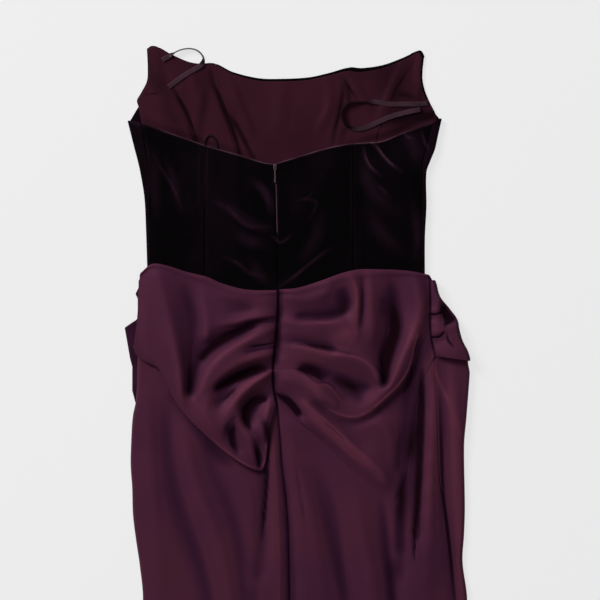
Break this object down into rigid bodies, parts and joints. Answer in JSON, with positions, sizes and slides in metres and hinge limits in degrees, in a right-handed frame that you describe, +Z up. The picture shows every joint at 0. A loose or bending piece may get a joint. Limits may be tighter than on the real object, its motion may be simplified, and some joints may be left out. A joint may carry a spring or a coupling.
{
  "type": "strapless velvet and satin gown laid flat",
  "caption": "Long strapless gown laid flat on its front: boned velvet bodice, satin skirt with a draped back overlay, concealed zip.",
  "frame": {"origin": "on the surface the gown lies on, under the middle of its length and width", "axes": "+Z up from the surface, out of the gown's back; +Y from the hem towards the neckline; +X to the viewer's right"},
  "size_m": [0.4488, 1.3, 0.0209],
  "materials": {
    "velvet": "near-black cut velvet with a faint wine sheen where the nap is creased",
    "lining": "matt burgundy lining satin",
    "satin": "soft wine satin with a low sheen and a violet cast in the hollows",
    "ribbon": "narrow satin ribbon, dark plum",
    "zip_tape": "woven tape, dark",
    "zip_metal": "lacquered slider and pull, dyed to match"
  },
  "bodies": {
    "gown": {"back_side_left": "velvet", "back_centre_left": "velvet", "back_centre_right": "velvet", "back_side_right": "velvet", "side_left": "velvet", "side_right": "velvet", "front_side_left": "velvet", "front_cup_left": "velvet", "front_centre": "velvet", "front_cup_right": "velvet", "front_side_right": "velvet", "lining_side_left": "lining", "lining_cup_left": "lining", "lining_centre": "lining", "lining_cup_right": "lining", "lining_side_right": "lining", "skirt_back_left": "satin", "skirt_back_right": "satin", "skirt_front": "satin", "drape_back_left": "satin", "drape_back_right": "satin", "drape_front": "satin", "zip_tape": "zip_tape", "zip_slider": "zip_metal", "hanger_loop_right": "ribbon", "hanger_loop_left": "ribbon", "eye_loop": "ribbon"},
    "pull": {"zip_pull": "zip_metal"}
  },
  "joints": [
    {"name": "zip_pull_hinge", "type": "hinge", "parent": "gown", "child": "pull", "pos_m": [-0.029, 0.492, 0.0103], "axis": [-1, 0, 0], "range_deg": [0, 160]}
  ]
}
